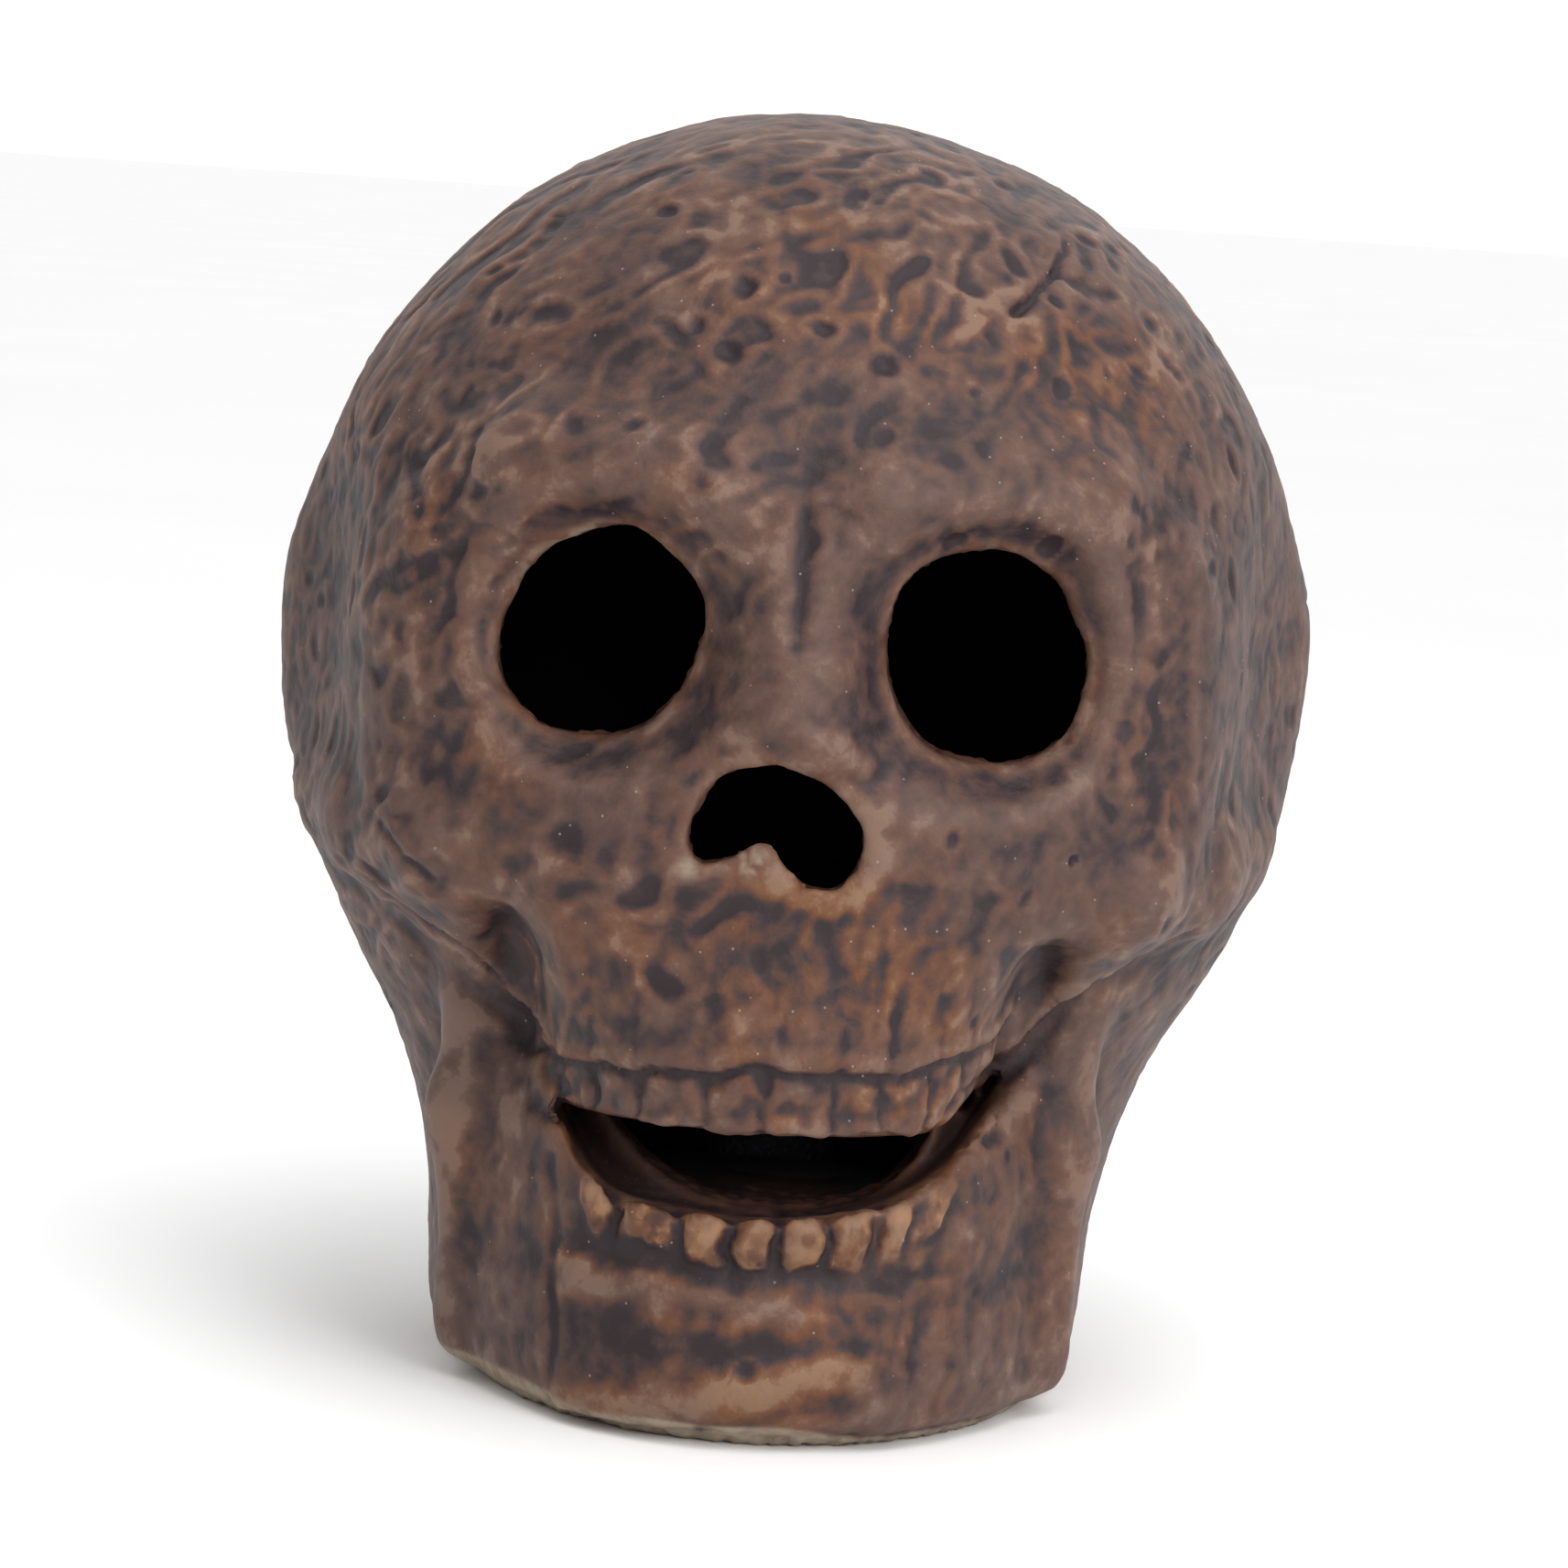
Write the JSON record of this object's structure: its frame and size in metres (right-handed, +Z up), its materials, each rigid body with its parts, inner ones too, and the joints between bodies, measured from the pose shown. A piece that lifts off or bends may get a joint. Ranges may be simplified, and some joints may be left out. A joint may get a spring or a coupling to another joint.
{
  "type": "bubbling aquarium ornament",
  "caption": "Hollow stoneware skull ornament with open eyes, nose and mouth, standing over a weighted base that carries an air inlet, a hose and a lift-out air stone.",
  "frame": {"origin": "middle of the overall outline in plan, on the plane of the foot", "axes": "+Z up, face towards -Y, +X to the right of someone looking at the face, air inlet points along +Y"},
  "size_m": [0.1162, 0.1248, 0.141],
  "materials": {
    "breaking_glaze": "satin mottled",
    "black_plastic": "moulded, fine texture",
    "cover_plastic": "moulded, fine texture",
    "pad_rubber": "matt",
    "ballast_stone": "sawn slate",
    "screw_steel": "plain",
    "fitting_plastic": "smooth moulded",
    "seal_rubber": "smooth",
    "hose_silicone": "smooth translucent green-grey",
    "air_stone_mineral": "coarse bonded grit"
  },
  "bodies": {
    "base_unit": {"base_tray": "black_plastic", "foot_pads": "pad_rubber", "ballast_block": "ballast_stone", "ballast_cover": "cover_plastic", "cover_screws": "screw_steel", "inlet_connector": "fitting_plastic", "inlet_seal": "seal_rubber", "inlet_nut": "fitting_plastic", "air_hose": "hose_silicone", "stone_socket": "fitting_plastic"},
    "shell": {"skull_shell": "breaking_glaze"},
    "stone": {"stone_stem": "fitting_plastic", "air_stone": "air_stone_mineral"}
  },
  "joints": [
    {"name": "shell_lift", "type": "slide", "parent": "base_unit", "child": "shell", "axis": [0, 0, 1], "range_m": [0, 0.08]},
    {"name": "stone_lift", "type": "slide", "parent": "base_unit", "child": "stone", "axis": [0, 0, 1], "range_m": [0, 0.03]}
  ]
}
